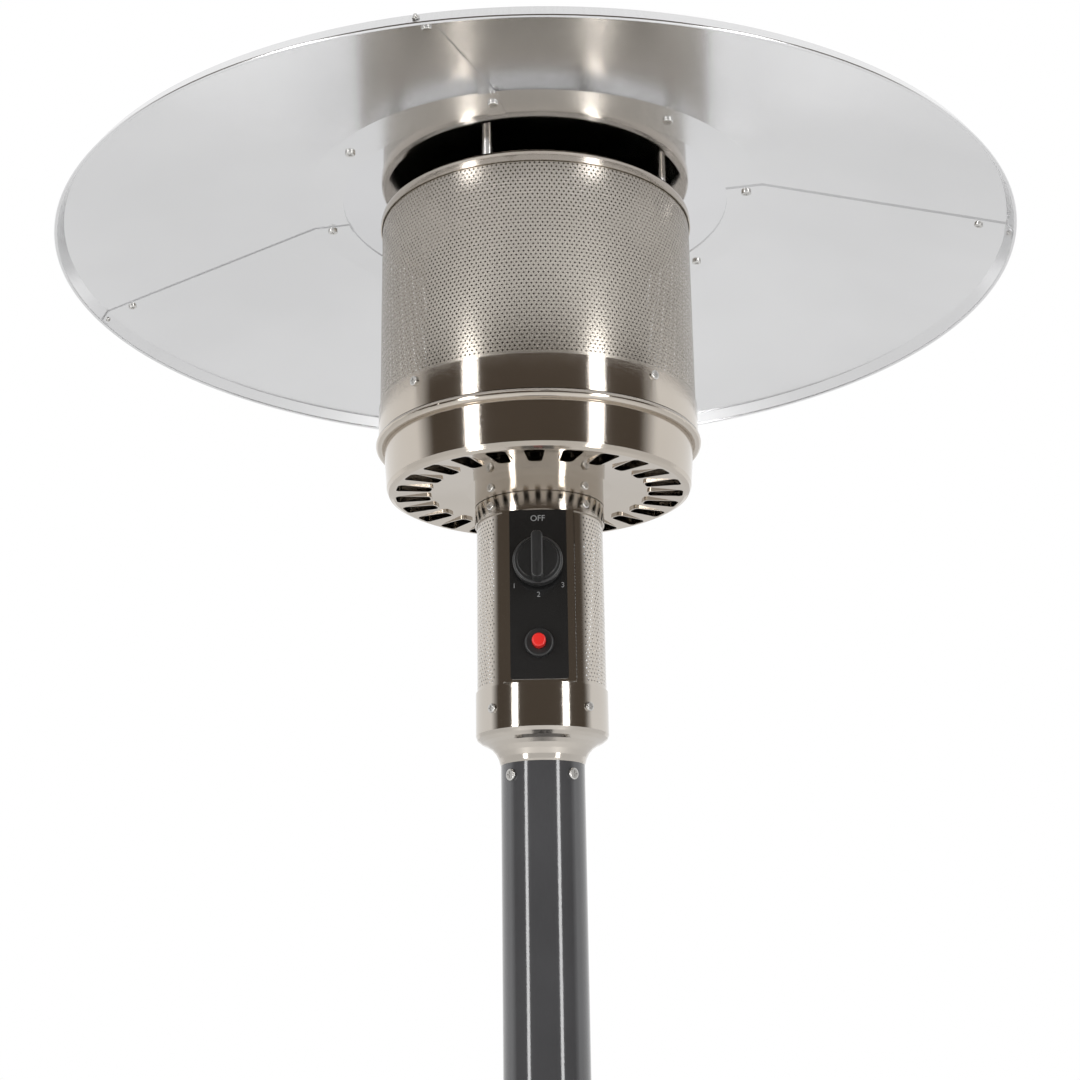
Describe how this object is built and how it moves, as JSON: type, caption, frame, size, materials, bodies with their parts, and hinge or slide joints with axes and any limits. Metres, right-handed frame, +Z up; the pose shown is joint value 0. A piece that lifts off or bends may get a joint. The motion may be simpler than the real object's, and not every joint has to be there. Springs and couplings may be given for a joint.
{
  "type": "propane patio heater",
  "caption": "Free-standing gas patio heater: wide conical reflector over a perforated emitter, slotted bowl, control housing, pole, lift-up tank housing and round wheeled base.",
  "frame": {"origin": "centre of the base on the floor, under the pole's axis", "axes": "+Z up along the pole; the control panel faces -Y, the wheels are on the +Y side"},
  "size_m": [0.813, 0.813, 2.203],
  "materials": {
    "reflector_aluminium": "brushed, semi-bright",
    "polished_aluminium": "polished",
    "stainless": "polished stainless, warm",
    "heat_tinted_stainless": "perforated, heat tinted",
    "steel": "bright zinc",
    "black_paint": "satin black",
    "grey_paint": "gloss dark grey",
    "cast_valve": "as cast",
    "brass": "machined",
    "ceramic_white": "glazed",
    "black_plastic": "satin moulded",
    "red_plastic": "gloss moulded",
    "rubber": "matt"
  },
  "bodies": {
    "heater": {"reflector_panel_1": "reflector_aluminium", "reflector_panel_2": "reflector_aluminium", "reflector_panel_3": "reflector_aluminium", "reflector_panel_4": "reflector_aluminium", "reflector_disc": "polished_aluminium", "reflector_screws": "steel", "reflector_nuts": "steel", "studs": "steel", "wing_nuts": "steel", "emitter_cap": "stainless", "emitter_screen": "heat_tinted_stainless", "emitter_band": "stainless", "emitter_band_screws": "steel", "bowl": "stainless", "burner_cup": "steel", "burner_plate": "steel", "inner_screen": "heat_tinted_stainless", "screen_stand": "steel", "mixer_tube": "steel", "pilot_bracket": "steel", "pilot_burner": "brass", "thermocouple": "steel", "spark_electrode": "ceramic_white", "upper_ring": "stainless", "lower_ring": "stainless", "collar_sleeve": "stainless", "collar_screws": "steel", "barrel": "stainless", "base_band": "stainless", "panel_frame": "stainless", "control_panel": "black_paint", "valve_bracket": "steel", "valve_body": "cast_valve", "igniter_body": "black_plastic", "igniter_nut": "steel", "igniter_bezel": "black_plastic", "tilt_switch": "cast_valve", "main_jet": "brass", "pole": "grey_paint", "pole_screws": "steel", "pole_foot": "grey_paint", "gas_pipe": "brass", "inlet_elbow": "brass", "support_legs": "grey_paint", "leg_bolts": "steel", "base_pan": "grey_paint", "axle_bracket": "grey_paint", "axle": "steel", "axle_caps": "steel"},
    "tank_cover": {"tank_housing": "grey_paint", "housing_cover": "grey_paint", "cover_screws": "steel", "cover_grommet": "rubber"},
    "valve_core": {"valve_rotor": "steel"},
    "knob_group": {"valve_stem": "steel", "knob": "black_plastic"},
    "button_group": {"igniter_button": "red_plastic", "igniter_plunger": "steel"},
    "left_wheel": {"wheel_left": "black_plastic"},
    "right_wheel": {"wheel_right": "black_plastic"}
  },
  "joints": [
    {"name": "cover_lift", "type": "slide", "parent": "heater", "child": "tank_cover", "axis": [0, 0, 1], "range_m": [0, 0.5]},
    {"name": "valve_turn", "type": "hinge", "parent": "heater", "child": "valve_core", "pos_m": [0, -0.03, 1.847], "axis": [0, -1, 0], "range_deg": [0, 210]},
    {"name": "knob_push", "type": "slide", "parent": "valve_core", "child": "knob_group", "axis": [0, 1, 0], "range_m": [0, 0.004], "stiffness_N_per_m": 600, "springref_m": -0.003},
    {"name": "button_push", "type": "slide", "parent": "heater", "child": "button_group", "axis": [0, 1, 0], "range_m": [0, 0.0045], "stiffness_N_per_m": 800, "springref_m": -0.002},
    {"name": "left_wheel_spin", "type": "hinge", "parent": "heater", "child": "left_wheel", "pos_m": [-0.093, 0.258, 0.036], "axis": [1, 0, 0], "continuous": true},
    {"name": "right_wheel_spin", "type": "hinge", "parent": "heater", "child": "right_wheel", "pos_m": [0.093, 0.258, 0.036], "axis": [1, 0, 0], "continuous": true}
  ]
}
